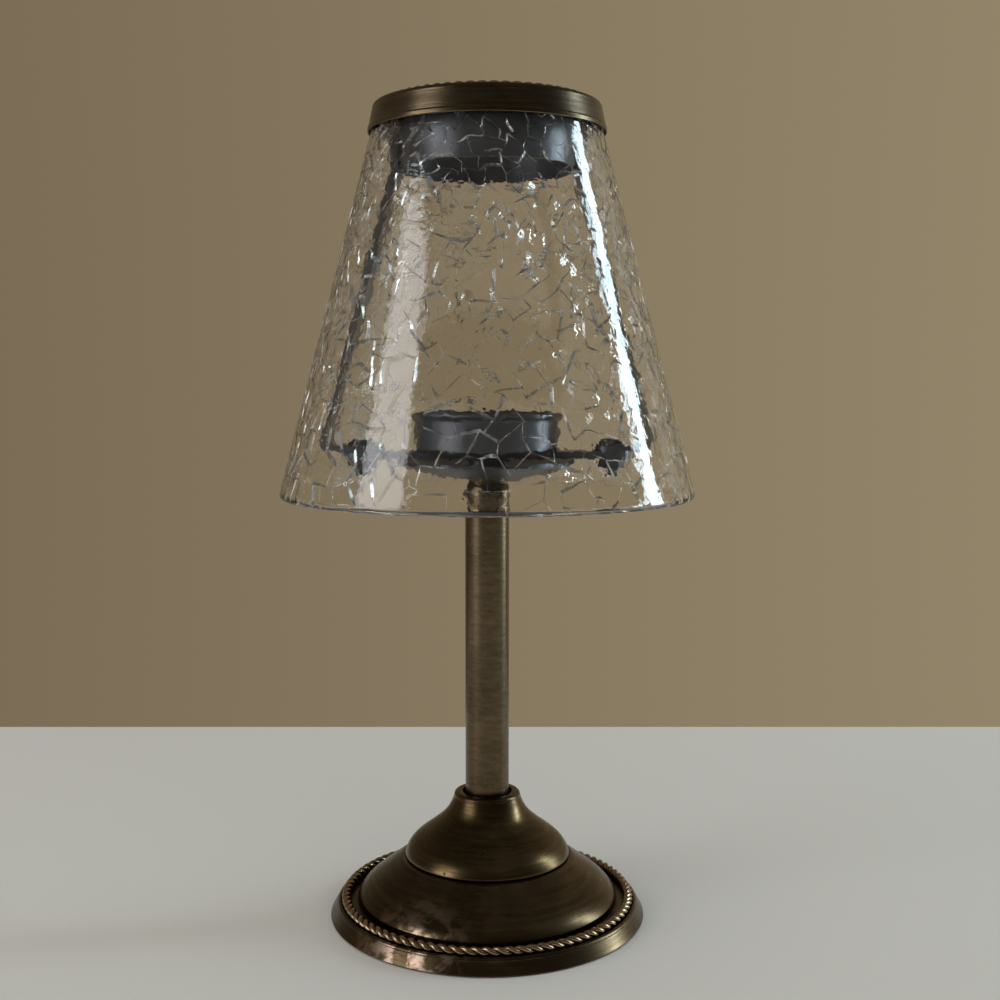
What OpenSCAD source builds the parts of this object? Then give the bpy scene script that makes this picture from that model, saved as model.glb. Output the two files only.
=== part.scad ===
// Tea light holder: a weighted antique brass foot and stem carry a candle cup
// inside a flat-strip frame, and a crackle glass shade hangs on the frame's top ring.
// Millimetres, +Z up, origin at the middle of the underside.

/* [Base] */
// Radius of the base at the table
base_r = 49; // [46:0.5:56]
// Height of the rim's bevel
rim_h = 3.7; // [3:0.1:5]
// How far the bevel leans in over its height
rim_bevel = 2.25; // [1:0.05:3]
// Width of the rounded lip on top of the rim
rim_lip_w = 1.15; // [0.8:0.05:1.6]
// Height of the lip above the edge of the bevel
rim_lip_h = 0.8; // [0.4:0.1:1.2]
// Depth of the groove below the lip
groove_d = 0.6; // [0.3:0.1:0.9]
// Width of the groove between the lip and the dome
groove_w = 5.4; // [4:0.1:7]
// Height of the upright foot of the dome above the groove
dome_foot_h = 2; // [1:0.1:3]
// Height of the dome from its foot to the seat of the bell
dome_h = 12; // [9:0.5:16]
// Wall of the spun shells
shell_t = 1.2; // [0.8:0.1:1.4]
// Thickness of the felt under the base
felt_t = 1.6; // [1.2:0.1:2]
// How far the metal rim stays above the table
rim_lift = 0.3; // [0.2:0.1:0.6]

/* [Bell and stem] */
// Largest radius of the bell
bell_r = 25.6; // [23:0.2:28]
// Width of the ledge on the dome outside the bell
seat_ledge = 0.6; // [0.3:0.1:1.2]
// Radius of the bell's rolled lip
bell_lip = 0.8; // [0.5:0.1:1.1]
// Height of the bell from its seat to the top of its collar
bell_h = 20.1; // [17:0.5:26]
// Wall of the collar outside the gap round the stem
collar_wall = 2.7; // [2:0.1:4]
// Rounding of the collar's top edge
collar_round = 1.3; // [0.8:0.1:1.7]
// Gap between the collar and the stem
collar_gap = 0.85; // [0.4:0.05:1.4]
// Depth of the recess that the stem stands in
collar_recess = 1.8; // [1:0.1:3]
// Thickness of the bell's floor under the stem
collar_floor = 3.2; // [2:0.1:5]
// Outer radius of the stem
stem_r = 6.75; // [6:0.05:8]
// Wall of the stem
stem_wall = 0.9; // [0.6:0.1:1.2]
// Length of the stem
stem_l = 94.5; // [60:0.5:160]

/* [Rope trims] */
// Radius of the rope on the base
base_rope_r = 1.4; // [1:0.05:1.7]
// Strands counted round the base rope
base_rope_strands = 86; // [60:2:100]
// Radius of the rope on the cap
cap_rope_r = 1.2; // [0.8:0.05:1.5]
// Strands counted round the cap rope
cap_rope_strands = 60; // [40:2:72]
// Depth of the valleys between two strands, as a part of the rope's radius
rope_valley = 0.42; // [0.2:0.02:0.5]

/* [Candle cup] */
// Inner radius of the cup, for a tea light 38 to 40 across
cup_bore_r = 21; // [20:0.25:23]
// Height of the cup outside
cup_h = 11.7; // [9:0.1:15]
// Wall of the cup
cup_wall = 0.8; // [0.6:0.1:1.2]
// Floor of the cup
cup_floor = 2; // [1.9:0.1:3]
// How far the cup's rim flares out
cup_flare = 1.2; // [0.6:0.1:2]
// Rounding between the cup's floor and its side
cup_round = 1.2; // [0.8:0.1:2.5]

/* [Frame] */
// Width of the frame's flat strips
strip_w = 12; // [10:0.5:16]
// Thickness of the frame's flat strips
strip_t = 2; // [1.5:0.1:2.5]
// Distance of the two arm screws from the axis
arm_screw_r = 38; // [36:0.5:42]
// Inner bend radius where a strip turns
strip_bend = 2.5; // [1.5:0.5:4]
// Height from the underside of the cross strap to the top of the ring
frame_h = 102.9; // [88:0.1:125]
// Outer radius of the frame's top ring
ring_r = 26.3; // [24:0.1:28]
// Wall of the top ring
ring_wall = 0.8; // [0.6:0.1:1.2]
// Height of the top ring
ring_h = 17; // [14:0.5:22]
// Height of the rivets above the lower edge of the ring
rivet_up = 5; // [4:0.5:7]
// Outer radius of the drip dish
dish_r = 27; // [22:0.5:29]
// Clearance between the rim of the drip dish and the cross strap
dish_gap = 0.7; // [0.4:0.1:1.5]
// Sheet thickness of the drip dish
dish_t = 0.8; // [0.6:0.1:1.2]
// Width of the dish's flat middle outside the hub
dish_flat = 1.5; // [1:0.1:3]
// Length of the threaded hub between the dish and the strap
hub_l = 5.3; // [4.5:0.1:9]
// Outer radius of the hub and of the neck of the socket
hub_r = 5.8; // [5:0.1:6.5]
// Height of the socket above the stem
socket_h = 5; // [3:0.5:9]
// Length of the socket inside the stem
spigot_l = 8; // [5:0.5:14]

/* [Shade] */
// Outer radius of the glass at its lower edge
glass_bottom_r = 63.5; // [60:0.5:75]
// Outer radius of the glass at its top edge
glass_top_r = 33.45; // [33:0.25:38]
// Height of the glass
glass_h = 113.7; // [100:0.5:125]
// Wall of the glass
glass_wall = 3; // [2:0.1:3.4]
// Thickness of the cement between the glass and the cap
cement_t = 0.8; // [0.5:0.1:1.5]
// Sheet thickness of the cap
cap_t = 0.65; // [0.5:0.05:0.9]
// How far the cap's skirt hangs over the glass
cap_skirt = 5.2; // [4:0.1:9]
// Height of the bead along the lower edge of the skirt
cap_bead = 1.4; // [1:0.1:2]
// How far the bead stands out from the skirt
cap_bead_step = 0.25; // [0.1:0.05:0.3]
// Height of the cap's crest above the plate that carries the rope
cap_crest = 1.5; // [1:0.1:2]
// Width of the cap's crest
cap_crest_w = 1.9; // [1.4:0.1:2.6]
// How far the cap's lip reaches down into the ring
cap_lip = 3.5; // [2:0.5:6]

/* [Fasteners and fits] */
// Radius of the tie rod
rod_r = 3; // [2.5:0.1:3.5]
// Width of the rod's nut across its flats
rod_nut_af = 10; // [9:0.5:11]
// Height of the rod's nut
rod_nut_h = 4.2; // [3:0.1:4.6]
// Radius of the rod's washer
rod_washer_r = 6.8; // [6.3:0.1:7.2]
// Thickness of the rod's washer
rod_washer_t = 1.2; // [0.8:0.1:1.5]
// Length of rod that shows below its nut
rod_tail = 0.5; // [0.2:0.1:1]
// Shank radius of the cup screw
cup_screw_r = 2.4; // [2:0.1:2.5]
// Head radius of the countersunk cup screw
cup_screw_head_r = 4.3; // [3.8:0.1:5.5]
// Head height of the countersunk cup screw
cup_screw_head_h = 1.7; // [1.2:0.1:1.8]
// Shank radius of the arm screws
arm_screw_shank_r = 2; // [1.5:0.1:2.4]
// Head radius of the arm screws
arm_screw_head_r = 3.6; // [3.2:0.1:4.2]
// Head height of the arm screws
arm_screw_head_h = 1.8; // [1.2:0.1:2.4]
// Width of the arm nuts across their flats
arm_nut_af = 7; // [6.5:0.5:8]
// Height of the arm nuts
arm_nut_h = 3.2; // [2.4:0.1:3.6]
// Length of screw that shows below an arm nut
arm_screw_tail = 2; // [0.5:0.5:3]
// Shank radius of the ring rivets
rivet_r = 1.25; // [1:0.05:1.6]
// Head radius of the ring rivets
rivet_head_r = 2.4; // [2.2:0.1:3]
// Head height of the ring rivets
rivet_head_h = 1; // [0.6:0.1:1.2]
// Radial clearance of a shank in its hole or a nut on its thread
shank_gap = 0.05; // [0.03:0.01:0.1]
// Radial clearance of the socket in the stem
spigot_gap = 0.05; // [0.03:0.01:0.1]
// Clearance between the weight and the shell round it
weight_gap = 0.4; // [0.3:0.1:0.8]
// Clearance round the nut in the underside of the weight
nut_room = 1.2; // [0.8:0.1:2]
// Clearance between the end of the rod and the felt
rod_end_gap = 0.5; // [0.3:0.1:1]
// Clearance between the ends of the rod and the cup screw inside the hub
screw_end_gap = 0.3; // [0.2:0.1:0.6]
// Gap between a rope and the wall beside it
rope_gap = 0.1; // [0.05:0.05:0.3]
// Gap between a rope and the floor under it
rope_seat = 0.02; // [0.01:0.01:0.05]
// Gap between the glass and the cap's skirt
cap_gap = 0.2; // [0.1:0.05:0.4]
// Radial play of the cap's lip in the ring
lip_gap = 0.4; // [0.3:0.05:0.8]
// Gap between the middle of an upright's strip and the glass, at the foot
frame_gap = 6.8; // [5:0.1:9]

/* [Hidden] */
$fn = 96;

// Small edges, points left out near a cut, screw slots and the facets of the ropes
edge = 0.3;
near_cut = 0.1;
slot_w = 0.8;
slot_d = 0.6;
rope_sides = 10;
rope_steps = 6;

// Colours
brass = "#6f5a3a";
dark_metal = "#2b2f38";
steel = "#9a9a98";
iron = "#4a4a4c";
felt_colour = "#3c4a3c";
cement_colour = "#c9c4b8";
glass_colour = [0.82, 0.84, 0.82, 0.45];

// Base levels and radii
rim_top_r = base_r - rim_bevel;
rim_edge_z = rim_lift + rim_h;
groove_r = rim_top_r - rim_lip_w;
groove_z = rim_edge_z + rim_lip_h - groove_d;
dome_r = groove_r - groove_w;
dome_z = groove_z + dome_foot_h;
seat_z = dome_z + dome_h;
seat_r = bell_r + seat_ledge;
under_groove_z = groove_z - shell_t;
under_seat_z = seat_z - shell_t;
inner_rim_r = base_r - rim_bevel * (under_groove_z - rim_lift) / rim_h - shell_t;
rod_hole_r = rod_r + shank_gap;
base_rope_circle_r = groove_r - rope_gap - base_rope_r;
base_rope_z = groove_z + rope_seat + base_rope_r;

// Bell, stem and frame levels
bell_top_z = seat_z + bell_h;
collar_r = stem_r + collar_gap + collar_wall;
stem_z = bell_top_z - collar_recess;
socket_z = stem_z + stem_l;
dish_z = socket_z + socket_h;
hub_z = dish_z + dish_t;
strap_z = hub_z + hub_l;
cup_z = strap_z + strip_t;
cup_floor_z = cup_z + cup_floor;
foot_top_z = cup_z + strip_t;
plate_z = strap_z + frame_h;
ring_z = plate_z - ring_h;
rivet_z = ring_z + rivet_up;

// Shade levels and radii, from the ring that carries it
glass_top_z = plate_z - cement_t;
glass_bottom_z = glass_top_z - glass_h;
glass_slope = (glass_bottom_r - glass_top_r) / glass_h;
glass_lean = atan(glass_slope);
glass_in = glass_wall / cos(glass_lean);
skirt_z = glass_top_z - cap_skirt;
skirt_r = outside_glass(skirt_z) + cap_gap + cap_t;
shoulder_r = glass_top_r + cap_gap + cap_t;
plate_top_z = plate_z + cap_t;
crest_r = shoulder_r - cap_crest_w;
lip_r = ring_r - ring_wall - lip_gap;
cap_rope_circle_r = crest_r - rope_gap - cap_rope_r;
cap_rope_z = plate_top_z + rope_seat + cap_rope_r;

// Fastener levels
nut_z = felt_t + rod_end_gap + rod_tail;
washer_z = nut_z + rod_nut_h;
counterbore_z = washer_z + rod_washer_t;
counterbore_r = max(rod_washer_r, rod_nut_af / 2 / cos(30)) + nut_room;
rod_top_z = hub_z + hub_l / 2;
foot_r = outside_glass(cup_z) - glass_in - frame_gap;

// Outer radius of the glass at a height
function outside_glass(z) = glass_top_r + glass_slope * (glass_top_z - z);

// Points on a cubic curve with four control points
function curve(p, steps) = [
    for (i = [0:steps])
        let (t = i / steps, s = 1 - t)
        s * s * s * p[0] + 3 * s * s * t * p[1] + 3 * s * t * t * p[2] + t * t * t * p[3]
];

// Points on a circle or an ellipse, from angle a to angle b
function arc(middle, radii, a, b, steps) = [
    for (i = [0:steps])
        let (w = a + (b - a) * i / steps)
        middle + [radii[0] * cos(w), radii[1] * sin(w)]
];

// A row of points moved sideways by d, to the left of its direction
function beside(p, d) = [
    for (i = [0:len(p) - 1])
        let (v = p[min(i + 1, len(p) - 1)] - p[max(i - 1, 0)])
        p[i] + d * [-v[1], v[0]] / norm(v)
];

function reversed(p) = [for (i = [len(p) - 1:-1:0]) p[i]];

// A row without its first and last points
function inner(p) = [for (i = [1:len(p) - 2]) p[i]];

// The point where a rising row passes a height
function crossing(p, z) = [
    for (i = [1:len(p) - 1])
        let (a = p[i - 1], b = p[i])
        if (a[1] < z && b[1] >= z) a + (b - a) * (z - a[1]) / (b[1] - a[1])
][0];

// A rising row cut off at two heights, without the points that lie too near to a cut
function trimmed(p, low, high) = concat(
    [crossing(p, low)],
    [for (q = p) if (q[1] > low + near_cut && q[1] < high - near_cut) q],
    [crossing(p, high)]
);

// The points of a row below a height
function below(p, high) = [for (q = p) if (q[1] < high - near_cut) q];

// A rounded corner at b between the straight lines from a and to c
function corner(a, b, c, r) =
    let (
        u = (a - b) / norm(a - b),
        v = (c - b) / norm(c - b),
        back = r / tan(acos(u * v) / 2)
    )
    curve([b + back * u, b + 0.45 * back * u, b + 0.45 * back * v, b + back * v], 8);

// Outline of the dome, from its foot up to the seat of the bell
dome_drop = dome_r - seat_r;
dome_outline = curve([
    [dome_r, dome_z],
    [dome_r - 0.1 * dome_drop, dome_z + 0.28 * dome_h],
    [dome_r - 0.49 * dome_drop, dome_z + 0.53 * dome_h],
    [seat_r, seat_z]
], 16);

// Outline of the bell: a rolled lip, a shoulder, a hollow neck and a rounded collar
neck_z = bell_top_z - collar_round;
neck_drop = bell_r - collar_r;
shoulder_z = seat_z + bell_lip;
bell_rise = neck_z - shoulder_z;
turn = [bell_r - 0.56 * neck_drop, shoulder_z + 0.5 * bell_rise];
bell_outline = concat(
    arc([bell_r - bell_lip, shoulder_z], [bell_lip, bell_lip], -90, -15, 4),
    curve([
        [bell_r, shoulder_z],
        [bell_r - 0.065 * neck_drop, shoulder_z + 0.23 * bell_rise],
        turn + [0.19 * neck_drop, -0.13 * bell_rise],
        turn
    ], 12),
    inner(curve([
        turn,
        turn - [0.22 * neck_drop, -0.15 * bell_rise],
        [collar_r + 0.1 * neck_drop, neck_z - 0.26 * bell_rise],
        [collar_r, neck_z]
    ], 12)),
    arc([collar_r - collar_round, neck_z], [collar_round, collar_round], 0, 90, 6)
);

module turned(points) {
    rotate_extrude()
        polygon(points);
}

module tube(outer_r, inner_r, height) {
    difference() {
        cylinder(r = outer_r, h = height);
        translate([0, 0, -1])
            cylinder(r = inner_r, h = height + 2);
    }
}

module hex_nut(af, hole_r, height) {
    difference() {
        cylinder(r = af / 2 / cos(30), h = height, $fn = 6);
        translate([0, 0, -1])
            cylinder(r = hole_r, h = height + 2);
    }
}

// A screw or rivet head that stands on the plane z = 0
module round_head(r, h) {
    turned(concat([[0, 0], [r, 0]], arc([0.3 * r, 0.35 * h], [0.7 * r, 0.65 * h], 0, 90, 6), [[0, h]]));
}

module slotted_head(r, h) {
    difference() {
        round_head(r, h);
        translate([-r - 1, -slot_w / 2, h - slot_d])
            cube([2 * r + 2, slot_w, slot_d + 1]);
    }
}

module on_both_sides() {
    children();
    mirror([1, 0, 0])
        children();
}

// Two strands twisted round each other and laid in a ring
module rope_ring(circle_r, rope_r, strands) {
    rings = strands / 2 * rope_steps;
    points = [
        for (i = [0:rings - 1])
            let (a = 360 * i / rings, twist = 180 / rope_steps - a * strands / 2)
            for (j = [0:rope_sides - 1])
                let (
                    w = 360 * j / rope_sides,
                    r = rope_r * (1 - rope_valley * pow(sin(w), 2)),
                    out = circle_r + r * cos(w + twist)
                )
                [out * cos(a), out * sin(a), r * sin(w + twist)]
    ];
    faces = [
        for (i = [0:rings - 1], j = [0:rope_sides - 1])
            let (
                next_i = (i + 1) % rings * rope_sides,
                next_j = (j + 1) % rope_sides,
                a = i * rope_sides + j,
                b = i * rope_sides + next_j,
                c = next_i + next_j,
                d = next_i + j
            )
            for (f = [[a, b, c], [a, c, d]]) f
    ];
    polyhedron(points, faces);
}

module base_shell() {
    wall = beside(dome_outline, shell_t);
    color(brass)
        turned(concat(
            [[base_r - shell_t, rim_lift], [base_r, rim_lift]],
            arc([groove_r, rim_edge_z], [rim_lip_w, rim_lip_h], 0, 90, 6),
            [[groove_r, groove_z], [dome_r, groove_z]],
            dome_outline,
            [[rod_hole_r, seat_z], [rod_hole_r, under_seat_z], crossing(wall, under_seat_z)],
            reversed(below(wall, under_seat_z)),
            [[dome_r - shell_t, under_groove_z], [inner_rim_r, under_groove_z]]
        ));
}

module base_rope() {
    color(brass)
        translate([0, 0, base_rope_z])
            rope_ring(base_rope_circle_r, base_rope_r, base_rope_strands);
}

// Cast weight that fills the dome and holds the rod's nut in a recess underneath
module base_weight() {
    side = beside(dome_outline, shell_t + weight_gap);
    side_top = crossing(side, under_seat_z - weight_gap);
    flange_r = inner_rim_r - weight_gap;
    flange_z = under_groove_z - weight_gap;
    color(iron)
        turned(concat(
            [[counterbore_r, felt_t], [flange_r, felt_t], [flange_r, flange_z]],
            [[dome_r - shell_t - weight_gap, flange_z]],
            below(side, side_top[1]),
            [side_top, [side_top[0] - weight_gap, under_seat_z], [rod_hole_r, under_seat_z]],
            [[rod_hole_r, counterbore_z], [counterbore_r, counterbore_z]]
        ));
}

module felt_pad() {
    color(felt_colour)
        cylinder(r = inner_rim_r, h = felt_t);
}

module rod_washer() {
    color(steel)
        translate([0, 0, washer_z])
            tube(rod_washer_r, rod_hole_r, rod_washer_t);
}

module rod_nut() {
    color(steel)
        translate([0, 0, nut_z])
            hex_nut(rod_nut_af, rod_hole_r, rod_nut_h);
}

module tie_rod() {
    low_z = nut_z - rod_tail;
    color(steel)
        turned([
            [0, low_z], [rod_r - edge, low_z], [rod_r, low_z + edge],
            [rod_r, rod_top_z - edge], [rod_r - edge, rod_top_z], [0, rod_top_z]
        ]);
}

module upper_bell() {
    floor_z = stem_z - collar_floor;
    color(brass)
        turned(concat(
            bell_outline,
            [[stem_r + collar_gap, bell_top_z], [stem_r + collar_gap, stem_z]],
            [[rod_hole_r, stem_z], [rod_hole_r, floor_z]],
            reversed(trimmed(beside(bell_outline, shell_t), shoulder_z + shell_t, floor_z)),
            [[bell_r - bell_lip - shell_t, seat_z]]
        ));
}

module stem_tube() {
    color(brass)
        turned([
            [stem_r - stem_wall, stem_z], [stem_r - edge, stem_z], [stem_r, stem_z + edge],
            [stem_r, socket_z], [stem_r - stem_wall, socket_z]
        ]);
}

// Socket that plugs into the stem and narrows to the width of the hub
module top_socket() {
    spigot_r = stem_r - stem_wall - spigot_gap;
    spigot_z = socket_z - spigot_l;
    color(brass)
        turned(concat(
            [[rod_hole_r, spigot_z], [spigot_r - edge, spigot_z], [spigot_r, spigot_z + edge]],
            [[spigot_r, socket_z]],
            curve([
                [stem_r, socket_z], [stem_r, socket_z + 0.5 * socket_h],
                [hub_r, socket_z + 0.5 * socket_h], [hub_r, dish_z]
            ], 8),
            [[rod_hole_r, dish_z]]
        ));
}

module drip_dish() {
    flat_r = hub_r + dish_flat;
    wide = dish_r - flat_r;
    rise = strap_z - dish_gap - dish_t - dish_z;
    under = curve([
        [flat_r, dish_z], [flat_r + 0.4 * wide, dish_z],
        [flat_r + 0.75 * wide, dish_z + 0.45 * rise], [dish_r, dish_z + rise]
    ], 10);
    color(dark_metal)
        turned(concat([[rod_hole_r, dish_z]], under, reversed(beside(under, dish_t)), [[rod_hole_r, hub_z]]));
}

module frame_hub() {
    thread_r = cup_screw_r + shank_gap;
    color(dark_metal)
        turned([
            [rod_hole_r, hub_z], [hub_r - edge, hub_z], [hub_r, hub_z + edge],
            [hub_r, strap_z - edge], [hub_r - edge, strap_z], [thread_r, strap_z],
            [thread_r, rod_top_z + screw_end_gap / 2], [rod_hole_r, rod_top_z + screw_end_gap / 2]
        ]);
}

// Flat strip with round ends, drilled for the cup screw and the two arm screws
module cross_strap() {
    color(dark_metal)
        difference() {
            union() {
                translate([-arm_screw_r, -strip_w / 2, strap_z])
                    cube([2 * arm_screw_r, strip_w, strip_t]);
                for (side = [-1, 1])
                    translate([side * arm_screw_r, 0, strap_z])
                        cylinder(d = strip_w, h = strip_t);
            }
            translate([0, 0, strap_z - 1])
                cylinder(r = cup_screw_r + shank_gap, h = strip_t + 2);
            for (side = [-1, 1])
                translate([side * arm_screw_r, 0, strap_z - 1])
                    cylinder(r = arm_screw_shank_r + shank_gap, h = strip_t + 2);
        }
}

// A flat strip bent three ways: a foot on the cross strap, a leaning bar and a tab on the ring
module upright() {
    middle_z = cup_z + strip_t / 2;
    tab_x = ring_r + strip_t / 2;
    low = [foot_r, middle_z];
    high = [tab_x, ring_z];
    bend_r = strip_bend + strip_t / 2;
    path = concat(
        [[arm_screw_r, middle_z]],
        corner([arm_screw_r, middle_z], low, high, bend_r),
        corner(low, high, [tab_x, rivet_z], bend_r),
        [[tab_x, rivet_z]]
    );
    color(dark_metal)
        difference() {
            union() {
                rotate([90, 0, 0])
                    linear_extrude(strip_w, center = true)
                        polygon(concat(beside(path, strip_t / 2), reversed(beside(path, -strip_t / 2))));
                translate([arm_screw_r, 0, cup_z])
                    cylinder(d = strip_w, h = strip_t);
                translate([ring_r, 0, rivet_z])
                    rotate([0, 90, 0])
                        cylinder(d = strip_w, h = strip_t);
            }
            translate([arm_screw_r, 0, cup_z - 1])
                cylinder(r = arm_screw_shank_r + shank_gap, h = strip_t + 2);
            translate([ring_r - 1, 0, rivet_z])
                rotate([0, 90, 0])
                    cylinder(r = rivet_r + shank_gap, h = strip_t + 2);
        }
}

module left_upright() {
    mirror([1, 0, 0])
        upright();
}

module right_upright() {
    upright();
}

module arm_screws() {
    tip_z = strap_z - arm_nut_h - arm_screw_tail;
    color(dark_metal)
        on_both_sides()
            translate([arm_screw_r, 0, 0]) {
                translate([0, 0, foot_top_z])
                    slotted_head(arm_screw_head_r, arm_screw_head_h);
                translate([0, 0, tip_z])
                    cylinder(r = arm_screw_shank_r, h = foot_top_z - tip_z);
            }
}

module arm_nuts() {
    color(dark_metal)
        on_both_sides()
            translate([arm_screw_r, 0, strap_z - arm_nut_h])
                hex_nut(arm_nut_af, arm_screw_shank_r + shank_gap, arm_nut_h);
}

module frame_ring() {
    color(dark_metal)
        difference() {
            translate([0, 0, ring_z])
                tube(ring_r, ring_r - ring_wall, ring_h);
            translate([-ring_r - 1, 0, rivet_z])
                rotate([0, 90, 0])
                    cylinder(r = rivet_r + shank_gap, h = 2 * ring_r + 2);
        }
}

// The inner head meets the round wall at its edge, and the outer head lies on the flat tab
module ring_rivets() {
    inner_x = sqrt(pow(ring_r - ring_wall, 2) - pow(rivet_head_r, 2));
    outer_x = ring_r + strip_t;
    color(dark_metal)
        on_both_sides()
            translate([0, 0, rivet_z])
                rotate([0, 90, 0]) {
                    translate([0, 0, inner_x - edge])
                        cylinder(r = rivet_r, h = outer_x - inner_x + 2 * edge);
                    translate([0, 0, outer_x])
                        round_head(rivet_head_r, rivet_head_h);
                    translate([0, 0, inner_x])
                        mirror([0, 0, 1])
                            round_head(rivet_head_r, rivet_head_h);
                }
}

// Round cup with a flared rim and a countersunk hole in its floor
module candle_cup() {
    outer_r = cup_bore_r + cup_wall;
    top_z = cup_z + cup_h;
    hole_r = cup_screw_r + shank_gap;
    color(dark_metal)
        turned(concat(
            [[hole_r, cup_z]],
            arc([outer_r - cup_round, cup_z + cup_round], [cup_round, cup_round], -90, 0, 5),
            [[outer_r, top_z - cup_flare - cup_wall], [outer_r + cup_flare, top_z - cup_wall]],
            [[outer_r + cup_flare, top_z], [cup_bore_r + cup_flare, top_z]],
            [[cup_bore_r, top_z - cup_flare], [cup_bore_r, cup_floor_z]],
            [[cup_screw_head_r + shank_gap, cup_floor_z], [hole_r, cup_floor_z - cup_screw_head_h]]
        ));
}

// Countersunk screw, flush with the cup's floor and threaded into the hub
module cup_screw() {
    tip_z = rod_top_z + screw_end_gap;
    color(steel)
        difference() {
            turned([
                [0, tip_z], [cup_screw_r - edge, tip_z], [cup_screw_r, tip_z + edge],
                [cup_screw_r, cup_floor_z - cup_screw_head_h], [cup_screw_head_r, cup_floor_z], [0, cup_floor_z]
            ]);
            translate([-cup_screw_head_r - 1, -slot_w / 2, cup_floor_z - slot_d])
                cube([2 * cup_screw_head_r + 2, slot_w, slot_d + 1]);
        }
}

// Spun cap: a skirt with a bead, a crest, a plate that rests on the ring, and a lip inside it
module cap_ring() {
    bead_r = skirt_r - cap_bead_step;
    color(brass)
        turned(concat(
            [[skirt_r - cap_t, skirt_z], [skirt_r - edge, skirt_z], [skirt_r, skirt_z + edge]],
            [[skirt_r, skirt_z + cap_bead - edge], [bead_r, skirt_z + cap_bead]],
            arc([shoulder_r - cap_crest_w / 2, plate_top_z], [cap_crest_w / 2, cap_crest], 0, 180, 16),
            [[lip_r - cap_t + edge, plate_top_z], [lip_r - cap_t, plate_top_z - edge]],
            [[lip_r - cap_t, plate_z - cap_lip], [lip_r, plate_z - cap_lip], [lip_r, plate_z]],
            [[shoulder_r - cap_t, plate_z]]
        ));
}

module cap_rope() {
    color(brass)
        translate([0, 0, cap_rope_z])
            rope_ring(cap_rope_circle_r, cap_rope_r, cap_rope_strands);
}

module glass_cement() {
    color(cement_colour)
        translate([0, 0, glass_top_z])
            tube(glass_top_r, glass_top_r - glass_in, cement_t);
}

// A straight cone of glass with a fully rounded lower edge
module glass_shade() {
    round_z = glass_bottom_z + glass_wall / 2;
    round_r = outside_glass(round_z) - glass_in / 2;
    color(glass_colour)
        turned(concat(
            arc([round_r, round_z], [glass_wall / 2, glass_wall / 2], glass_lean - 180, glass_lean, 10),
            [[glass_top_r, glass_top_z], [glass_top_r - glass_in, glass_top_z]]
        ));
}

base_shell();
base_rope();
base_weight();
felt_pad();
rod_washer();
rod_nut();
tie_rod();
upper_bell();
stem_tube();
top_socket();
drip_dish();
frame_hub();
cross_strap();
left_upright();
right_upright();
arm_screws();
arm_nuts();
frame_ring();
ring_rivets();
candle_cup();
cup_screw();
cap_ring();
cap_rope();
glass_cement();
glass_shade();
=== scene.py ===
import math
import random

import bmesh
import bpy
from mathutils import Matrix, Vector, noise
from mathutils.geometry import interpolate_bezier


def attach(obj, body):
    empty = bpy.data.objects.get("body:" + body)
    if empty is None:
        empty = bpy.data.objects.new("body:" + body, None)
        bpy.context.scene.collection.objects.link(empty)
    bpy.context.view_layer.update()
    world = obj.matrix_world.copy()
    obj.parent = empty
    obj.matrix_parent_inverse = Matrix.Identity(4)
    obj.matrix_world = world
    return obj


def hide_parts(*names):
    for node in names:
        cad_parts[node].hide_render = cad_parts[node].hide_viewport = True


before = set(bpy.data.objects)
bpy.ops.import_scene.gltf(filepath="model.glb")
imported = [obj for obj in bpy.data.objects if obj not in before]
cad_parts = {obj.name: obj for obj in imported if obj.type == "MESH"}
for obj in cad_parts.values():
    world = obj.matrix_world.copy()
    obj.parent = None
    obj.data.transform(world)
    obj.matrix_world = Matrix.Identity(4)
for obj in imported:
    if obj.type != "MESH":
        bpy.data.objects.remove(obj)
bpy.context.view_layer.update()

mm = 0.001

# Stage: a pale table top, a tan background and soft light from two tall panels
stage = {
    "floorColour": (0.66, 0.64, 0.59),
    "floorHalfWidth": 1.6,
    "floorFront": -2.2,
    "floorBack": 0.216,          # the far edge of the table top
    "backLeft": (0.19, 0.145, 0.088),
    "backRight": (0.29, 0.235, 0.145),
    "roomFront": (0.055, 0.048, 0.04),
    "roomTop": (0.13, 0.12, 0.105),
    "ambient": (0.56, 0.55, 0.53),
}
rightPanel = {"azimuth": 101, "distance": 1.25, "middle": 0.46, "wide": 0.19, "tall": 0.95,
              "radiance": 15, "colour": (0.7, 0.88, 1.0)}
leftPanel = {"azimuth": -61, "distance": 1.25, "middle": 0.52, "wide": 0.6, "tall": 0.95,
             "radiance": 3.2, "colour": (0.95, 0.96, 1.0)}
camera = {"distance": 401.3, "height": 166.8, "pitch": 5.33, "lens": 47.34, "shift": 0.0128}

# Sizes of the pieces, in millimetres
foot = {
    "low": 0.3, "rimR": 49.0, "edgeR": 46.75, "edgeZ": 4.0, "ridge": 0.12,
    "lipR": 45.6, "lipZ": 4.8, "grooveZ": 4.2, "domeR": 40.2, "domeFootZ": 6.2,
    "seatR": 26.2, "seatZ": 18.2, "rodR": 3.05, "wall": 1.2,
}
bell = {
    "lipR": 25.6, "lip": 0.8, "seatZ": 18.2, "topZ": 38.3, "collarR": 10.3, "boreR": 7.6,
    "collarRound": 1.3, "stemZ": 36.5, "floorZ": 33.3, "rodR": 3.05, "wall": 1.2,
}
stem = {"r": 6.75, "wall": 0.9, "low": 36.5, "high": 131.0}
baseRope = {"circleR": 44.1, "z": 5.62, "r": 1.4, "crests": 86, "strands": 2, "strandR": 0.8}
capRope = {"circleR": 31.1, "z": 246.87, "r": 1.2, "crests": 60, "strands": 2, "strandR": 0.68}
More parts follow.
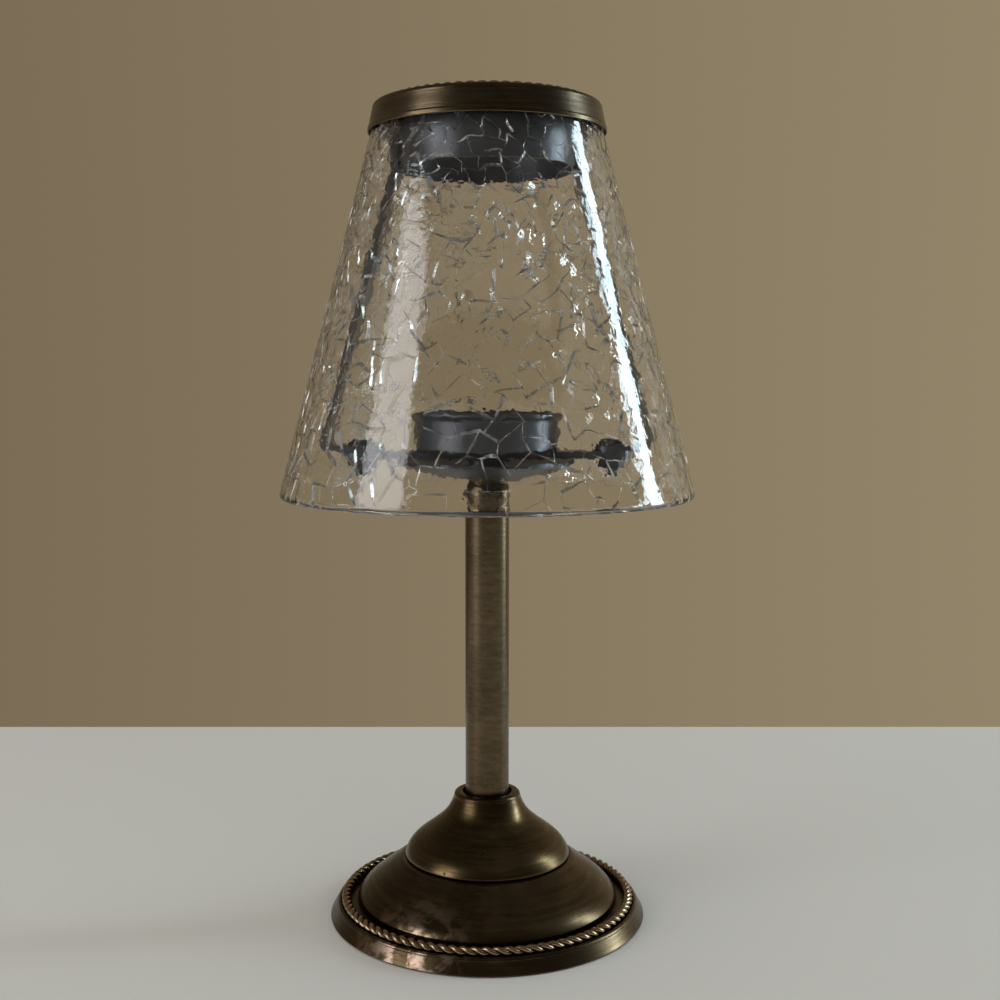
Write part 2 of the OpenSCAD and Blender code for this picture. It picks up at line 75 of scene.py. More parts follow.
cap = {
    "skirtZ": 239.0, "skirtR": 35.67, "sheet": 0.65, "bead": 1.4, "beadStep": 0.25,
    "shoulderR": 34.3, "plateZ": 245.0, "crest": 1.5, "crestW": 1.9, "lipR": 25.1, "lipZ": 241.5,
}
glass = {
    "bottomR": 63.5, "bottomZ": 130.5, "topR": 33.45, "topZ": 244.2, "wall": 3.0,
    "outerRound": 1.92, "innerRound": 1.12, "topRound": 0.3,
    "slices": 72, "turns": 240, "wave": 0.10, "waveSize": 13.0, "ripple": 0.022, "rippleSize": 3.4,
}
crackle = {
    "columns": 46, "rows": 23, "jitter": 0.34, "lost": 0.10, "cuts": 3, "wobble": 0.4,
    "wobbleSize": 2.6, "depth": 1.5, "depthSpread": 0.9, "tilt": 0.75, "tiltSize": 9.0,
    "skin": 0.06, "seed": 7,
}
frameRing = {"r": 26.3, "wall": 0.8, "low": 228.0, "high": 245.0}
cup = {"boreR": 21.0, "wall": 0.8, "low": 144.1, "high": 155.8, "flare": 1.2, "floor": 2.0,
       "holeR": 4.35, "shankR": 2.45, "sink": 1.7, "round": 1.2}


def addNode(tree, kind, values=None, **settings):
    made = tree.nodes.new("ShaderNode" + kind)
    for key, value in settings.items():
        setattr(made, key, value)
    for key, value in (values or {}).items():
        if isinstance(value, bpy.types.NodeSocket):
            tree.links.new(value, made.inputs[key])
        else:
            made.inputs[key].default_value = value
    return made


def maths(tree, operation, a, b=0.0, clamp=False):
    return addNode(tree, "Math", {0: a, 1: b}, operation=operation, use_clamp=clamp).outputs[0]


def mixed(tree, share, a, b, mode="MIX"):
    values = {0: share, 6: a, 7: b}
    return addNode(tree, "Mix", values, data_type="RGBA", blend_type=mode).outputs[2]


def spread(tree, value, low, high, newLow=0.0, newHigh=1.0):
    values = {"Value": value, "From Min": low, "From Max": high, "To Min": newLow, "To Max": newHigh}
    return addNode(tree, "MapRange", values).outputs[0]


def newGroup(name, inputs, outputs):
    group = bpy.data.node_groups.new(name, "ShaderNodeTree")
    kinds = {"value": "NodeSocketFloat", "colour": "NodeSocketColor"}
    for socketName, kind, default in inputs:
        socket = group.interface.new_socket(socketName, in_out="INPUT", socket_type=kinds[kind])
        socket.default_value = default
    for socketName, kind in outputs:
        group.interface.new_socket(socketName, in_out="OUTPUT", socket_type=kinds[kind])
    return group, group.nodes.new("NodeGroupInput"), group.nodes.new("NodeGroupOutput")


def rgba(colour):
    return (*colour, 1.0)


# Fine grooves of a lathe or a polishing wheel: they run round the axis and never meet in a seam
def makeLatheGrain():
    group, given, result = newGroup(
        "latheGrain", [("Fineness", "value", 2500.0), ("Shortness", "value", 3.0)], [("Grain", "value")])
    place = addNode(group, "TexCoord").outputs["Object"]
    split = addNode(group, "SeparateXYZ", {0: place})
    flat = addNode(group, "CombineXYZ", {"X": split.outputs["X"], "Y": split.outputs["Y"]}).outputs[0]
    radius = addNode(group, "VectorMath", {0: flat}, operation="LENGTH").outputs["Value"]
    direction = addNode(group, "VectorMath", {0: flat}, operation="NORMALIZE").outputs["Vector"]
    around = addNode(group, "VectorMath", {0: direction, "Scale": given.outputs["Shortness"]},
                     operation="SCALE").outputs["Vector"]
    aroundSplit = addNode(group, "SeparateXYZ", {0: around})
    along = addNode(group, "CombineXYZ", {
        "X": aroundSplit.outputs["X"], "Y": aroundSplit.outputs["Y"],
        "Z": maths(group, "MULTIPLY", radius, given.outputs["Fineness"])}).outputs[0]
    height = maths(group, "MULTIPLY", split.outputs["Z"], given.outputs["Fineness"])
    grain = addNode(group, "TexNoise", {"Vector": along, "W": height, "Scale": 1.0, "Detail": 3.0,
                                        "Roughness": 0.6}, noise_dimensions="4D")
    group.links.new(grain.outputs[0], result.inputs["Grain"])
    return group


# Large soft patches, from dark to light
def makeMottle():
    group, given, result = newGroup("mottle", [("Size", "value", 60.0)], [("Patches", "value")])
    place = addNode(group, "TexCoord").outputs["Object"]
    patches = addNode(group, "TexNoise", {"Vector": place, "Scale": given.outputs["Size"], "Detail": 4.0,
                                          "Roughness": 0.55, "Distortion": 0.6})
    group.links.new(spread(group, patches.outputs[0], 0.32, 0.68), result.inputs["Patches"])
    return group


# Small dark pits, where the finish has been nicked
def makePits():
    group, given, result = newGroup("pits", [("Spacing", "value", 90.0)], [("Pits", "value")])
    place = addNode(group, "TexCoord").outputs["Object"]
    cells = addNode(group, "TexVoronoi", {"Vector": place, "Scale": given.outputs["Spacing"]})
    small = spread(group, cells.outputs["Distance"], 0.03, 0.06, 1.0, 0.0)
    chosen = addNode(group, "SeparateColor", {0: cells.outputs["Color"]}).outputs[0]
    rare = maths(group, "GREATER_THAN", chosen, 0.86)
    group.links.new(maths(group, "MULTIPLY", small, rare), result.inputs["Pits"])
    return group


groups = {"grain": makeLatheGrain(), "mottle": makeMottle(), "pits": makePits()}


def useGroup(tree, name, **values):
    made = tree.nodes.new("ShaderNodeGroup")
    made.node_tree = groups[name]
    for key, value in values.items():
        made.inputs[key].default_value = value
    return made.outputs[0]


def newMaterial(name):
    material = bpy.data.materials.new(name)
    material.use_nodes = True
    tree = material.node_tree
    return material, tree, tree.nodes["Principled BSDF"], tree.nodes["Material Output"]


def bumped(tree, height, strength, distance):
    values = {"Height": height, "Strength": strength, "Distance": distance}
    return addNode(tree, "Bump", values).outputs[0]


# Antique brass: a brown patina, made near black in the recesses by patina and painted shade, and rubbed bright
# on the edges
def makeBrass(name, deep, middle, bright, recess=2.2, paintedReflectionAt=None, roughness=(0.2, 0.32)):
    material, tree, shader, _ = newMaterial(name)
    fine = useGroup(tree, "grain", Fineness=5200.0, Shortness=5.0)
    coarse = useGroup(tree, "grain", Fineness=900.0, Shortness=1.6)
    patches = useGroup(tree, "mottle", Size=38.0)
    pits = useGroup(tree, "pits", Spacing=85.0)
    tone = maths(tree, "MULTIPLY", coarse, 0.7)
    tone = maths(tree, "ADD", tone, maths(tree, "MULTIPLY", fine, 0.35))
    tone = maths(tree, "ADD", tone, maths(tree, "MULTIPLY", patches, 0.3))
    ramp = addNode(tree, "ValToRGB", {0: spread(tree, tone, 0.35, 1.0)})
    ramp.color_ramp.elements[0].color = rgba(deep)
    ramp.color_ramp.elements[1].color = rgba(bright)
    ramp.color_ramp.elements.new(0.5).color = rgba(middle)
    colour = ramp.outputs[0]
    rubbed = spread(tree, addNode(tree, "NewGeometry").outputs["Pointiness"], 0.515, 0.56)
    colour = mixed(tree, maths(tree, "MULTIPLY", rubbed, 0.6), colour, rgba([1.7 * c for c in bright]))
    # A painted reflection: a lighter, blotchy patch on the front left of the rim
    if paintedReflectionAt:
        place = addNode(tree, "TexCoord").outputs["Object"]
        away = addNode(tree, "VectorMath", {0: place, 1: paintedReflectionAt["place"]}, operation="DISTANCE")
        near = spread(tree, away.outputs["Value"], paintedReflectionAt["reach"], 0.3 * paintedReflectionAt["reach"])
        blotches = useGroup(tree, "mottle", Size=230.0)
        paintedReflection = maths(tree, "MULTIPLY", near, spread(tree, blotches, 0.35, 0.75))
        colour = mixed(tree, paintedReflection, colour, rgba(paintedReflectionAt["colour"]))
    # Patina and painted shade: the colour turns near black where ambient occlusion finds recesses
    shade = addNode(tree, "AmbientOcclusion", {"Distance": recess * mm}, samples=8).outputs["AO"]
    unshadedShare = spread(tree, shade, 0.25, 0.85)
    colour = mixed(tree, unshadedShare, rgba([0.08 * c for c in deep]), colour)
    colour = mixed(tree, pits, colour, rgba([0.25 * c for c in deep]))
    tree.links.new(colour, shader.inputs["Base Color"])
    rough = spread(tree, tone, 0.4, 1.0, roughness[1], roughness[0])
    hidden = maths(tree, "SUBTRACT", 1.0, unshadedShare)
    rough = maths(tree, "ADD", rough, maths(tree, "MULTIPLY", hidden, 0.3))
    tree.links.new(rough, shader.inputs["Roughness"])
    shader.inputs["Metallic"].default_value = 1.0
    shader.inputs["Anisotropic"].default_value = 0.3
    tangent = addNode(tree, "Tangent", direction_type="RADIAL", axis="Z").outputs[0]
    tree.links.new(tangent, shader.inputs["Tangent"])
    height = maths(tree, "SUBTRACT", fine, maths(tree, "MULTIPLY", pits, 3.0))
    tree.links.new(bumped(tree, height, 0.35, 0.00004), shader.inputs["Normal"])
    return material


# Satin black metal of the frame inside the shade
def makeDarkMetal():
    material, tree, shader, _ = newMaterial("satinBlack")
    place = addNode(tree, "TexCoord").outputs["Object"]
    fine = addNode(tree, "TexNoise", {"Vector": place, "Scale": 2600.0, "Detail": 2.0}).outputs[0]
    patches = useGroup(tree, "mottle", Size=55.0)
    colour = mixed(tree, patches, rgba((0.055, 0.06, 0.07)), rgba((0.105, 0.11, 0.125)))
    tree.links.new(colour, shader.inputs["Base Color"])
    tree.links.new(spread(tree, fine, 0.3, 0.7, 0.3, 0.42), shader.inputs["Roughness"])
    shader.inputs["Metallic"].default_value = 0.75
    tree.links.new(bumped(tree, fine, 0.3, 0.00003), shader.inputs["Normal"])
    return material


def makePlainMetal(name, dark, light, roughness, metallic):
    material, tree, shader, _ = newMaterial(name)
    place = addNode(tree, "TexCoord").outputs["Object"]
    fine = addNode(tree, "TexNoise", {"Vector": place, "Scale": 900.0, "Detail": 5.0}).outputs[0]
    colour = mixed(tree, spread(tree, fine, 0.3, 0.7), rgba(dark), rgba(light))
    tree.links.new(colour, shader.inputs["Base Color"])
    tree.links.new(spread(tree, fine, 0.3, 0.7, roughness, roughness + 0.15), shader.inputs["Roughness"])
    shader.inputs["Metallic"].default_value = metallic
    tree.links.new(bumped(tree, fine, 0.4, 0.00015), shader.inputs["Normal"])
    return material


def makeFelt():
    material, tree, shader, _ = newMaterial("pressedFelt")
    place = addNode(tree, "TexCoord").outputs["Object"]
    fibres = addNode(tree, "TexNoise", {"Vector": place, "Scale": 1800.0, "Detail": 6.0, "Roughness": 0.7,
                                        "Distortion": 1.5}).outputs[0]
    share = spread(tree, fibres, 0.3, 0.7)
    colour = mixed(tree, share, rgba((0.022, 0.036, 0.026)), rgba((0.06, 0.09, 0.065)))
    tree.links.new(colour, shader.inputs["Base Color"])
    shader.inputs["Roughness"].default_value = 0.95
    shader.inputs["Sheen Weight"].default_value = 0.4
    tree.links.new(bumped(tree, fibres, 0.8, 0.0003), shader.inputs["Normal"])
    return material


# Clear glass that lets lamps through, with a faint warm tint and an uneven skin
def makeGlass():
    material, tree, shader, out = newMaterial("clearGlass")
    shader.inputs["Base Color"].default_value = rgba((0.972, 0.955, 0.925))
    shader.inputs["Roughness"].default_value = 0.03
    shader.inputs["IOR"].default_value = 1.5
    shader.inputs["Transmission Weight"].default_value = 1.0
    place = addNode(tree, "TexCoord").outputs["Object"]
    ripple = addNode(tree, "TexNoise", {"Vector": place, "Scale": 260.0, "Detail": 2.0}).outputs[0]
    tree.links.new(bumped(tree, ripple, 0.25, 0.0004), shader.inputs["Normal"])
    clear = addNode(tree, "BsdfTransparent", {"Color": rgba((0.93, 0.92, 0.9))}).outputs[0]
    path = addNode(tree, "LightPath").outputs["Is Shadow Ray"]
    both = addNode(tree, "MixShader", {0: path, 1: shader.outputs[0], 2: clear}).outputs[0]
    tree.links.new(both, out.inputs["Surface"])
    return material


# The walls of the cracks inside the glass, which throw the light aside like mirrors
def makeCrack():
    material, tree, shader, _ = newMaterial("crackWalls")
    place = addNode(tree, "TexCoord").outputs["Object"]
    healed = addNode(tree, "TexNoise", {"Vector": place, "Scale": 190.0, "Detail": 3.0}).outputs[0]
    shader.inputs["Base Color"].default_value = rgba((0.93, 0.92, 0.9))
    shader.inputs["Metallic"].default_value = 1.0
    tree.links.new(spread(tree, healed, 0.3, 0.7, 0.12, 0.35), shader.inputs["Roughness"])
    tree.links.new(spread(tree, healed, 0.32, 0.62, 0.35, 0.95), shader.inputs["Alpha"])
    return material


materials = {
    # The foot's rim carries a painted reflection on its front left
    "foot": makeBrass("brassFoot", (0.022, 0.015, 0.008), (0.085, 0.058, 0.03), (0.2, 0.142, 0.078), paintedReflectionAt={
        "place": (-0.024, -0.042, 0.003), "reach": 0.022, "colour": (0.42, 0.3, 0.22)}),
    "bell": makeBrass("brassBell", (0.024, 0.016, 0.008), (0.095, 0.064, 0.029), (0.22, 0.15, 0.072)),
    "stem": makeBrass("brassStem", (0.035, 0.024, 0.014), (0.1, 0.072, 0.042), (0.19, 0.14, 0.085)),
    "cap": makeBrass("brassCap", (0.028, 0.02, 0.012), (0.1, 0.074, 0.043), (0.22, 0.165, 0.098)),
    "rope": makeBrass("brassRope", (0.03, 0.02, 0.012), (0.15, 0.1, 0.055), (0.36, 0.26, 0.155), recess=1.3),
    "dark": makeDarkMetal(),
    "steel": makePlainMetal("zincSteel", (0.36, 0.36, 0.35), (0.5, 0.5, 0.49), 0.3, 1.0),
    "iron": makePlainMetal("castIron", (0.05, 0.05, 0.052), (0.11, 0.11, 0.115), 0.55, 0.7),
    "plaster": makePlainMetal("plaster", (0.52, 0.5, 0.45), (0.66, 0.64, 0.58), 0.8, 0.0),
    "felt": makeFelt(),
    "glass": makeGlass(),
    "crack": makeCrack(),
}
print("materials made", len(materials))


# An outline in the XZ plane. A point is a radius, a height and, on a rounded corner, its rounding
def outline(points, closed=True):
    bm = bmesh.new()
    verts = [bm.verts.new((p[0] * mm, 0.0, p[1] * mm)) for p in points]
    follow = verts[1:] + verts[:1] if closed else verts[1:]
    for a, b in zip(verts, follow):
        bm.edges.new((a, b))
    for vert, p in zip(verts, points):
        if len(p) > 2:
            bmesh.ops.bevel(bm, geom=[vert], offset=p[2] * mm, offset_type="OFFSET", segments=4, profile=0.5,
                            affect="VERTICES", material=-1)
    return bm


def bow(a, b, c, d, count):
    points = interpolate_bezier(*(Vector((p[0], p[1])) for p in (a, b, c, d)), count + 1)
    return [(p.x, p.y) for p in points]


def turn(bm, steps=192):
    bmesh.ops.spin(bm, geom=bm.verts[:] + bm.edges[:], cent=(0, 0, 0), axis=(0, 0, 1), dvec=(0, 0, 0),
                   angle=2 * math.pi, steps=steps, use_merge=True)
    bmesh.ops.remove_doubles(bm, verts=bm.verts, dist=0.0005 * mm)
    bmesh.ops.recalc_face_normals(bm, faces=bm.faces)
    return bm


def addPiece(bm, name, body, material, nodes=(), even=True):
    mesh = bpy.data.meshes.new(name)
    bm.to_mesh(mesh)
    bm.free()
    mesh.polygons.foreach_set("use_smooth", [True] * len(mesh.polygons))
    piece = bpy.data.objects.new(name, mesh)
    bpy.context.scene.collection.objects.link(piece)
    mesh.materials.append(materials[material])
    if even:
        weighted = piece.modifiers.new("evenNormals", "WEIGHTED_NORMAL")
        weighted.keep_sharp = True
    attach(piece, body)
    if nodes:
        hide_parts(*nodes)
    return piece


def makeFoot():
    f = foot
    drop = f["domeR"] - f["seatR"]
    rise = f["seatZ"] - f["domeFootZ"]
    dome = bow((f["domeR"], f["domeFootZ"]), (f["domeR"] - 0.1 * drop, f["domeFootZ"] + 0.28 * rise),
               (f["domeR"] - 0.49 * drop, f["domeFootZ"] + 0.53 * rise), (f["seatR"], f["seatZ"]), 28)
    lip = bow((f["edgeR"], f["edgeZ"] + 0.05), (f["edgeR"] - 0.1, f["edgeZ"] + 0.6),
              (f["edgeR"] - 0.5, f["lipZ"]), (f["lipR"] + 0.15, f["lipZ"]), 8)
    bm = outline([
        (f["rimR"] - f["wall"], f["low"]), (f["rimR"], f["low"], 0.35),
        (f["edgeR"] + f["ridge"], f["edgeZ"] - 0.15, 0.12), (f["edgeR"] + f["ridge"], f["edgeZ"], 0.1),
        *lip, (f["lipR"], f["lipZ"] - 0.12), (f["lipR"], f["grooveZ"], 0.15),
        (f["domeR"], f["grooveZ"], 0.3), *dome,
        (f["rodR"], f["seatZ"]), (f["rodR"], f["seatZ"] - f["wall"]),
        (f["seatR"] - 0.6, f["seatZ"] - f["wall"]), (f["domeR"] - f["wall"], f["domeFootZ"] - 0.6),
        (f["domeR"] - f["wall"], f["grooveZ"] - f["wall"]), (f["edgeR"] - 0.3, f["grooveZ"] - f["wall"]),
    ])
    addPiece(turn(bm, 256), "foot_shell", "stand", "foot", ["base_shell"])


def makeBell():
    b = bell
    shoulder = b["seatZ"] + b["lip"]
    neck = b["topZ"] - b["collarRound"]
    wide = b["lipR"] - b["collarR"]
    rise = neck - shoulder
    midR, midZ = b["lipR"] - 0.56 * wide, shoulder + 0.5 * rise
    lower = bow((b["lipR"], shoulder), (b["lipR"] - 0.065 * wide, shoulder + 0.23 * rise),
                (midR + 0.19 * wide, midZ - 0.13 * rise), (midR, midZ), 20)
    upper = bow((midR, midZ), (midR - 0.22 * wide, midZ + 0.15 * rise),
                (b["collarR"] + 0.1 * wide, neck - 0.26 * rise), (b["collarR"], neck), 20)
    lip = bow((b["lipR"] - b["lip"], b["seatZ"]), (b["lipR"] - 0.35 * b["lip"], b["seatZ"]),
              (b["lipR"], b["seatZ"] + 0.5 * b["lip"]), (b["lipR"], shoulder), 8)
    collar = bow((b["collarR"], neck), (b["collarR"], neck + 0.6 * b["collarRound"]),
                 (b["collarR"] - 0.4 * b["collarRound"], b["topZ"]),
                 (b["collarR"] - b["collarRound"], b["topZ"]), 8)
    bm = outline([
        *lip[:-1], *lower[:-1], *upper[:-1], *collar, (b["boreR"], b["topZ"], 0.3), (b["boreR"], b["stemZ"]),
        (b["rodR"], b["stemZ"]), (b["rodR"], b["floorZ"]), (b["collarR"] + 0.2, b["floorZ"]),
        (midR - 1.0, midZ - 1.0), (b["lipR"] - 2.2, shoulder + 1.0), (b["lipR"] - 2.0, b["seatZ"]),
    ])
    addPiece(turn(bm, 224), "bell_shell", "stand", "bell", ["upper_bell"])


def makeStem():
    s = stem
    bm = outline([(s["r"] - s["wall"], s["low"]), (s["r"], s["low"], 0.3), (s["r"], s["high"], 0.15),
                  (s["r"] - s["wall"], s["high"])])
    addPiece(turn(bm, 128), "stem_barrel", "stand", "stem", ["stem_tube"])


def makeCap():
    c = cap
    plateTop = c["plateZ"] + c["sheet"]
    middle = c["shoulderR"] - c["crestW"] / 2
    angles = [math.radians(w) for w in range(0, 181, 10)]
    crest = [(middle + c["crestW"] / 2 * math.cos(a), plateTop + c["crest"] * math.sin(a)) for a in angles]
    beadR = c["skirtR"] - c["beadStep"]
    bm = outline([
        (c["skirtR"] - c["sheet"], c["skirtZ"]), (c["skirtR"], c["skirtZ"], 0.25),
        (c["skirtR"], c["skirtZ"] + c["bead"] - 0.15, 0.2),
        (beadR, c["skirtZ"] + c["bead"] + 0.1, 0.12), *crest,
        (c["lipR"] - c["sheet"], plateTop, 0.4), (c["lipR"] - c["sheet"], c["lipZ"]),
        (c["lipR"], c["lipZ"]), (c["lipR"], c["plateZ"]), (c["shoulderR"] - c["sheet"], c["plateZ"]),
    ])
    addPiece(turn(bm, 224), "cap_shell", "shade", "cap", ["cap_ring"])


# Round strands twisted round each other and laid in a ring
def makeRope(rope, name, body, node):
    curve = bpy.data.curves.new(name + "Line", "CURVE")
    curve.dimensions = "3D"
    curve.bevel_depth = rope["strandR"] * mm
    curve.bevel_resolution = 3
    turns = rope["crests"] // rope["strands"]
    count = turns * 14
    swing = rope["r"] - rope["strandR"]
    for strand in range(rope["strands"]):
        line = curve.splines.new("POLY")
        line.points.add(count - 1)
        line.use_cyclic_u = True
        for i, point in enumerate(line.points):
            a = 2 * math.pi * i / count
            twist = -turns * a + 2 * math.pi * strand / rope["strands"]
            out = (rope["circleR"] + swing * math.cos(twist)) * mm
            point.co = (out * math.cos(a), out * math.sin(a), (rope["z"] + swing * math.sin(twist)) * mm, 1.0)
    holder = bpy.data.objects.new(name + "Line", curve)
    bpy.context.scene.collection.objects.link(holder)
    bpy.context.view_layer.update()
    bm = bmesh.new()
    bm.from_mesh(holder.evaluated_get(bpy.context.evaluated_depsgraph_get()).to_mesh())
    bpy.data.objects.remove(holder)
    bmesh.ops.remove_doubles(bm, verts=bm.verts, dist=0.0005 * mm)
    bmesh.ops.recalc_face_normals(bm, faces=bm.faces)
    addPiece(bm, name, body, "rope", [node], even=False)


makeFoot()
makeBell()
makeStem()
makeCap()
makeRope(baseRope, "foot_rope", "stand", "base_rope")
makeRope(capRope, "crown_rope", "shade", "cap_rope")
print("brass made")

glassSlope = (glass["bottomR"] - glass["topR"]) / (glass["topZ"] - glass["bottomZ"])
glassLean = math.atan(glassSlope)


def glassRadius(z):
    return glass["topR"] + glassSlope * (glass["topZ"] - z)


def makeGlassWall():
    g = glass
    across = g["wall"] / math.cos(glassLean)
    lowR = glassRadius(g["bottomZ"])
    bm = outline([
        (lowR, g["bottomZ"], g["outerRound"]), (g["topR"], g["topZ"], g["topRound"]),
        (g["topR"] - across, g["topZ"], g["topRound"]), (lowR - across, g["bottomZ"], g["innerRound"])])
    half = 0.5 * (g["topZ"] - g["bottomZ"]) * mm
    tallEdges = [edge for edge in bm.edges if edge.calc_length() > half]
    bmesh.ops.subdivide_edges(bm, edges=tallEdges, cuts=g["slices"])
    turn(bm, g["turns"])
    for vert in bm.verts:
        out = Vector((vert.co.x, vert.co.y, 0)).normalized()
        slow = noise.noise(vert.co / (g["waveSize"] * mm))
        fast = noise.noise(vert.co / (g["rippleSize"] * mm) + Vector((3, 1, 4)))
        vert.co += out * (min(0.0, g["wave"] * (slow - 0.6)) + g["ripple"] * (fast - 1)) * mm
    addPiece(bm, "glass_wall", "shade", "glass", ["glass_shade"], even=False)


# A net of cracks: six-sided cells laid round the cone, pushed about, thinned out and let into the glass
def makeCracks():
    c, g = crackle, glass
    random.seed(c["seed"])
    bm = bmesh.new()
    cell = 2 * math.pi / c["columns"]
    side = cell / math.sqrt(3)
    for row in range(c["rows"]):
        for column in range(c["columns"]):
            place = ((column + 0.5 * (row % 2)) * cell, row * 1.5 * side, 0)
            bmesh.ops.create_circle(bm, segments=6, radius=side, matrix=Matrix.Translation(place))
    bmesh.ops.remove_doubles(bm, verts=bm.verts, dist=0.1 * side)
    # Unrolled, the cells keep their shape all the way down and grow with the radius
    sine = math.sin(glassLean)
    for vert in bm.verts:
        radius = g["topR"] * math.exp(sine * (vert.co.y - 0.5 * side))
        z = g["topZ"] - (radius - g["topR"]) / glassSlope
        vert.co = (radius * math.cos(vert.co.x) * mm, radius * math.sin(vert.co.x) * mm, z * mm)
    bmesh.ops.remove_doubles(bm, verts=bm.verts, dist=0.2 * mm)

    # Operators leave points in no fixed order, so they get one before chance moves them
    def latticePlace(vert):
        radius = math.hypot(vert.co.x, vert.co.y) / mm
        row = round(2 * math.log(radius / g["topR"]) / (sine * side))
        column = round(2 * math.atan2(vert.co.y, vert.co.x) / cell) % (2 * c["columns"])
        return row * 2 * c["columns"] + column

    bm.verts.sort(key=latticePlace)
    bm.verts.index_update()
    count = len(bm.verts)
    bm.edges.sort(key=lambda edge: min(v.index for v in edge.verts) * count + max(v.index for v in edge.verts))

    def onGlass(point, inside=0.0):
        flat = Vector((point.x, point.y, 0)).normalized()
        return flat * (glassRadius(point.z / mm) - inside) * mm + Vector((0, 0, point.z))

    for vert in bm.verts:
        reach = c["jitter"] * 2 * math.pi * glassRadius(vert.co.z / mm) / c["columns"] * mm
        push = Vector([random.uniform(-reach, reach) for _ in range(3)])
        vert.co = onGlass(vert.co + push)
    bmesh.ops.delete(bm, geom=[e for e in bm.edges if random.random() < c["lost"]], context="EDGES")
    bmesh.ops.subdivide_edges(bm, edges=bm.edges[:], cuts=c["cuts"])
    for vert in bm.verts:
        wobble = noise.noise_vector(vert.co / (c["wobbleSize"] * mm)) * c["wobble"] * mm
        vert.co = onGlass(vert.co + wobble, c["skin"])
    low, high = (g["bottomZ"] + 1.2) * mm, (g["topZ"] - 0.4) * mm
    bmesh.ops.delete(bm, geom=[v for v in bm.verts if not low < v.co.z < high], context="VERTS")
    grown = bmesh.ops.extrude_edge_only(bm, edges=bm.edges[:])["geom"]
    for vert in (e for e in grown if isinstance(e, bmesh.types.BMVert)):
        lean = noise.noise_vector(vert.co / (c["tiltSize"] * mm) + Vector((9, 5, 2)))
        deep = c["depth"] + c["depthSpread"] * noise.noise(vert.co / (6 * mm))
        inward = -Vector((vert.co.x, vert.co.y, 0)).normalized() * deep
        vert.co += (inward + lean * c["tilt"] * 2) * mm
        vert.co = onGlass(vert.co, c["skin"] + max(0.3, min(deep, g["wall"] - 0.4)))
    addPiece(bm, "glass_cracks", "shade", "crack", even=False)


makeGlassWall()
makeCracks()
print("shade made")


def makeFrameRing():
    r = frameRing
    bm = outline([(r["r"] - r["wall"], r["low"], 0.2), (r["r"], r["low"], 0.2), (r["r"], r["high"], 0.2),
                  (r["r"] - r["wall"], r["high"], 0.2)])
    addPiece(turn(bm), "frame_band", "stand", "dark", ["frame_ring"])


def makeCup():
    c = cup
    outR = c["boreR"] + c["wall"]
    bm = outline([
        (c["shankR"], c["low"]), (outR, c["low"], c["round"]),
        (outR, c["high"] - c["flare"] - c["wall"], 0.5),
        (outR + c["flare"], c["high"] - c["wall"], 0.25), (outR + c["flare"], c["high"], 0.25),
        (c["boreR"] + c["flare"], c["high"], 0.2), (c["boreR"], c["high"] - c["flare"], 0.5),
        (c["boreR"], c["low"] + c["floor"], 0.4), (c["holeR"], c["low"] + c["floor"]),
        (c["shankR"], c["low"] + c["floor"] - c["sink"])])
    addPiece(turn(bm), "light_cup", "stand", "dark", ["candle_cup"])


makeFrameRing()
makeCup()

finishes = {
    "base_weight": "iron", "felt_pad": "felt", "rod_washer": "steel", "rod_nut": "steel",
    "tie_rod": "steel",
    "top_socket": "stem", "drip_dish": "dark", "frame_hub": "dark", "cross_strap": "dark",
    "left_upright": "dark", "right_upright": "dark", "arm_screws": "dark", "arm_nuts": "dark",
    "ring_rivets": "dark", "cup_screw": "steel", "glass_cement": "plaster",
}
for nodeName, finish in finishes.items():
    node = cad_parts[nodeName]
    node.data.materials.clear()
    node.data.materials.append(materials[finish])
print("frame made")


def makeFloor():
    s = stage
    bm = bmesh.new()
    bmesh.ops.create_grid(bm, x_segments=2, y_segments=2, size=0.5)
    width, depth = 2 * s["floorHalfWidth"], s["floorBack"] - s["floorFront"]
    bmesh.ops.scale(bm, vec=(width, depth, 1), verts=bm.verts)
    bmesh.ops.translate(bm, vec=(0, (s["floorBack"] + s["floorFront"]) / 2, 0), verts=bm.verts)
    mesh = bpy.data.meshes.new("tableTop")
    bm.to_mesh(mesh)
    bm.free()
    floor = bpy.data.objects.new("tableTop", mesh)
    bpy.context.scene.collection.objects.link(floor)
    material, tree, shader, _ = newMaterial("paleTable")
    place = addNode(tree, "TexCoord").outputs["Object"]
    patches = addNode(tree, "TexNoise", {"Vector": place, "Scale": 3.0, "Detail": 3.0}).outputs[0]
    darker, lighter = (rgba([share * v for v in s["floorColour"]]) for share in (0.97, 1.03))
    colour = mixed(tree, patches, darker, lighter)
    tree.links.new(colour, shader.inputs["Base Color"])
    shader.inputs["Roughness"].default_value = 0.6
    mesh.materials.append(material)


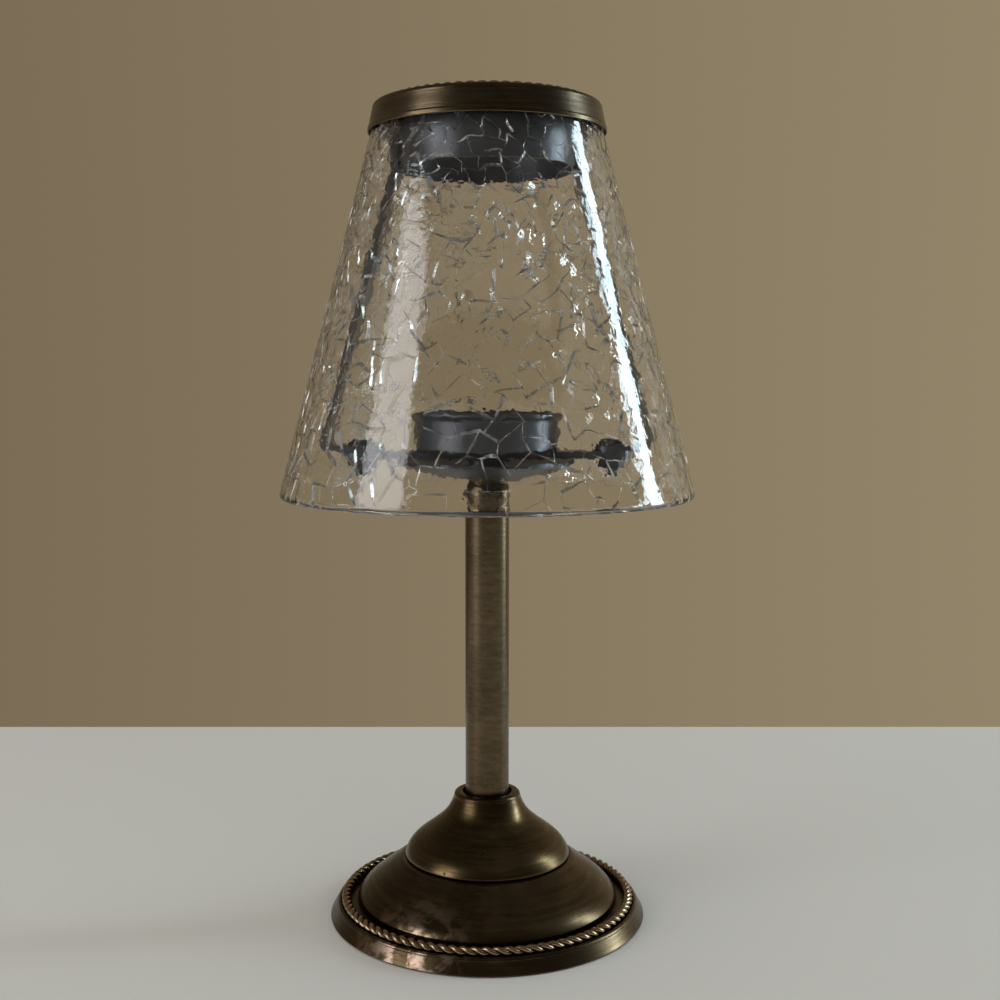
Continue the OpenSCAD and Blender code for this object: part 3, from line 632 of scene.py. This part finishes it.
# The camera and glass see the tan background all round. Metal mirrors a dim room in front
def makeWorld():
    s = stage
    world = bpy.data.worlds.new("room")
    bpy.context.scene.world = world
    world.use_nodes = True
    tree = world.node_tree
    background = tree.nodes["Background"]
    way = addNode(tree, "SeparateXYZ", {0: addNode(tree, "TexCoord").outputs["Generated"]})
    x, y, z = (way.outputs[k] for k in "XYZ")
    wall = mixed(tree, spread(tree, x, -0.4, 0.4), rgba(s["backLeft"]), rgba(s["backRight"]))
    room = mixed(tree, spread(tree, y, -0.1, 0.3), rgba(s["roomFront"]), wall)
    room = mixed(tree, spread(tree, z, 0.25, 0.8), room, rgba(s["roomTop"]))
    path = addNode(tree, "LightPath")
    colour = mixed(tree, path.outputs["Is Glossy Ray"], wall, room)
    colour = mixed(tree, path.outputs["Is Diffuse Ray"], colour, rgba(s["ambient"]))
    tree.links.new(colour, background.inputs["Color"])


def makePanel(name, panel):
    light = bpy.data.lights.new(name, "AREA")
    light.shape = "RECTANGLE"
    light.size, light.size_y = panel["wide"], panel["tall"]
    light.color = panel["colour"]
    light.energy = math.pi * panel["wide"] * panel["tall"] * panel["radiance"]
    lamp = bpy.data.objects.new(name, light)
    bpy.context.scene.collection.objects.link(lamp)
    a = math.radians(panel["azimuth"])
    lamp.location = (panel["distance"] * math.sin(a), -panel["distance"] * math.cos(a), panel["middle"])
    aim = Vector((0, 0, 0.14)) - lamp.location
    aim.z = 0
    lamp.rotation_euler = aim.to_track_quat("-Z", "Y").to_euler()


def makeCamera():
    data = bpy.data.cameras.new("camera")
    data.lens = camera["lens"]
    data.shift_x = camera["shift"]
    data.clip_start = 0.01
    seen = bpy.data.objects.new("camera", data)
    bpy.context.scene.collection.objects.link(seen)
    seen.location = (0, -camera["distance"] * mm, camera["height"] * mm)
    seen.rotation_euler = (math.radians(90 - camera["pitch"]), 0, 0)
    bpy.context.scene.camera = seen


makeFloor()
makeWorld()
makePanel("rightPanel", rightPanel)
makePanel("leftPanel", leftPanel)
makeCamera()
bpy.context.scene.view_settings.view_transform = "Standard"
print("stage made")
